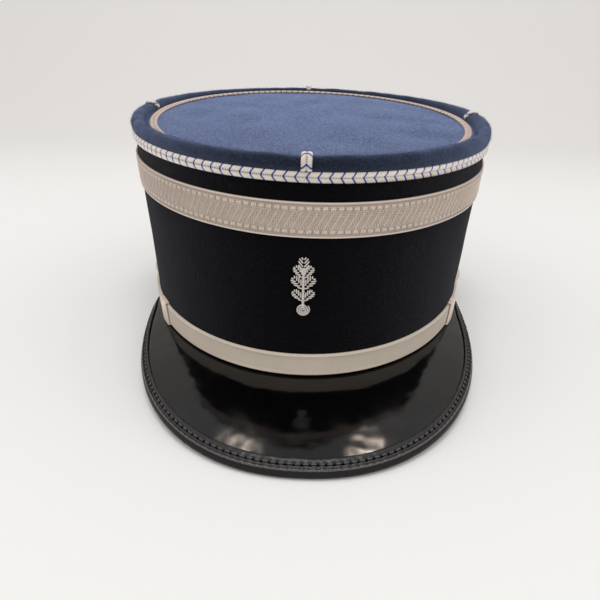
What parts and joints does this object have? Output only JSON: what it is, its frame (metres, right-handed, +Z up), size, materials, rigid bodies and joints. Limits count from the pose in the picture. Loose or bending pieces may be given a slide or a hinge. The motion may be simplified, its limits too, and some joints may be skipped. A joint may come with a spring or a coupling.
{
  "type": "kepi cap",
  "caption": "Tall oval cloth cap with a recessed padded top, braid and lace trim, a fixed strap with side buttons and a glossy leather peak.",
  "frame": {"origin": "middle of the footprint, on the floor that the cap rests on", "axes": "+Z up, -Y to the front where the peak is, +X to the wearer's left"},
  "size_m": [0.1886, 0.2516, 0.1225],
  "materials": {
    "navy_wool": "felted near-black navy wool",
    "blue_wool": "felted slate-blue wool",
    "silver_braid": "two-lobed silver braid with a blue fleck",
    "silver_lace": "flat woven silver lace",
    "silver_thread": "raised silver thread embroidery",
    "button_metal": "warm silvered metal, worn",
    "patent_leather": "glossy black patent",
    "edge_leather": "black leather, softly polished"
  },
  "bodies": {
    "root": {"crown_body": "navy_wool", "crown_top": "blue_wool", "edge_braid": "silver_braid", "top_ring_braid": "silver_braid", "tab_front": "silver_braid", "tab_rear": "silver_braid", "tab_left": "silver_braid", "tab_right": "silver_braid", "galon": "silver_lace", "front_badge": "silver_thread", "chin_strap": "silver_lace", "strap_slide_left": "silver_lace", "strap_slide_right": "silver_lace", "side_button_left": "button_metal", "side_button_right": "button_metal", "peak": "patent_leather", "peak_binding": "edge_leather"}
  },
  "joints": []
}
